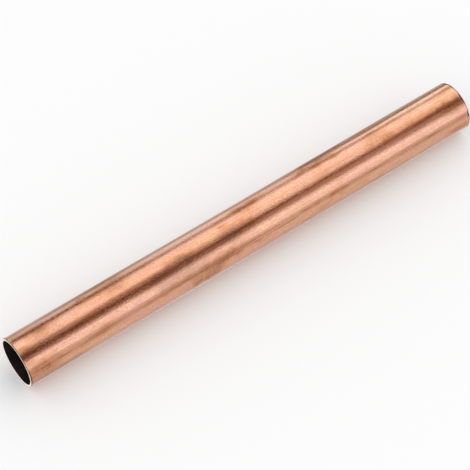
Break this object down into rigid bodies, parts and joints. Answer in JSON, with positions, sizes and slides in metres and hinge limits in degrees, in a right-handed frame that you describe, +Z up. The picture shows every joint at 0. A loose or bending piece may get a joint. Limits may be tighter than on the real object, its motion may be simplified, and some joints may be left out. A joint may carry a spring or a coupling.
{
  "type": "copper pipe length",
  "caption": "Straight round copper pipe, open right through, sawn square and deburred at its ends, for joining into water and heating runs.",
  "frame": {"origin": "on the pipe's axis, at mid-length", "axes": "+X along the pipe, +Z up with the pipe lying level, +Y across it"},
  "size_m": [0.225, 0.022, 0.022],
  "materials": {
    "copper": "satin"
  },
  "bodies": {
    "root": {"copper_pipe": "copper"}
  },
  "joints": []
}
